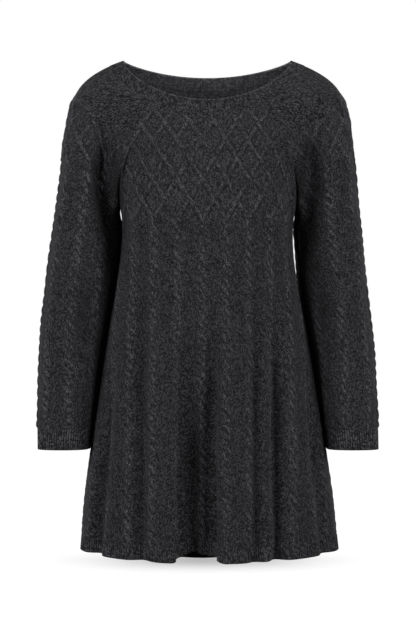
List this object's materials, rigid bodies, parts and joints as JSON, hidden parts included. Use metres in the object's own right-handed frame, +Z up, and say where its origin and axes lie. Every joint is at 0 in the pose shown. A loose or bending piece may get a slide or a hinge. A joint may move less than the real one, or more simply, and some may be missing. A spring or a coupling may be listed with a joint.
{
  "type": "boat neck sweater",
  "caption": "Long-sleeved A-line tunic sweater in cable knit with a wide boat neck and ribbed bands, hollow and filled out as if worn.",
  "frame": {"origin": "midway between the two ends of the neckline, on top of the shoulders, where a wearer holds the garment up", "axes": "+Z up, +X to the wearer's left, the front faces -Y"},
  "size_m": [0.5759, 0.2362, 0.8587],
  "materials": {
    "cable_knit": "charcoal marl wool blend, cable knit",
    "rib_knit": "charcoal marl wool blend, one by one rib"
  },
  "bodies": {
    "root": {"front": "cable_knit", "back": "cable_knit", "sleeve_left": "cable_knit", "sleeve_right": "cable_knit", "neckband": "rib_knit", "hem_front": "rib_knit", "hem_back": "rib_knit", "cuff_left": "rib_knit", "cuff_right": "rib_knit"}
  },
  "joints": []
}
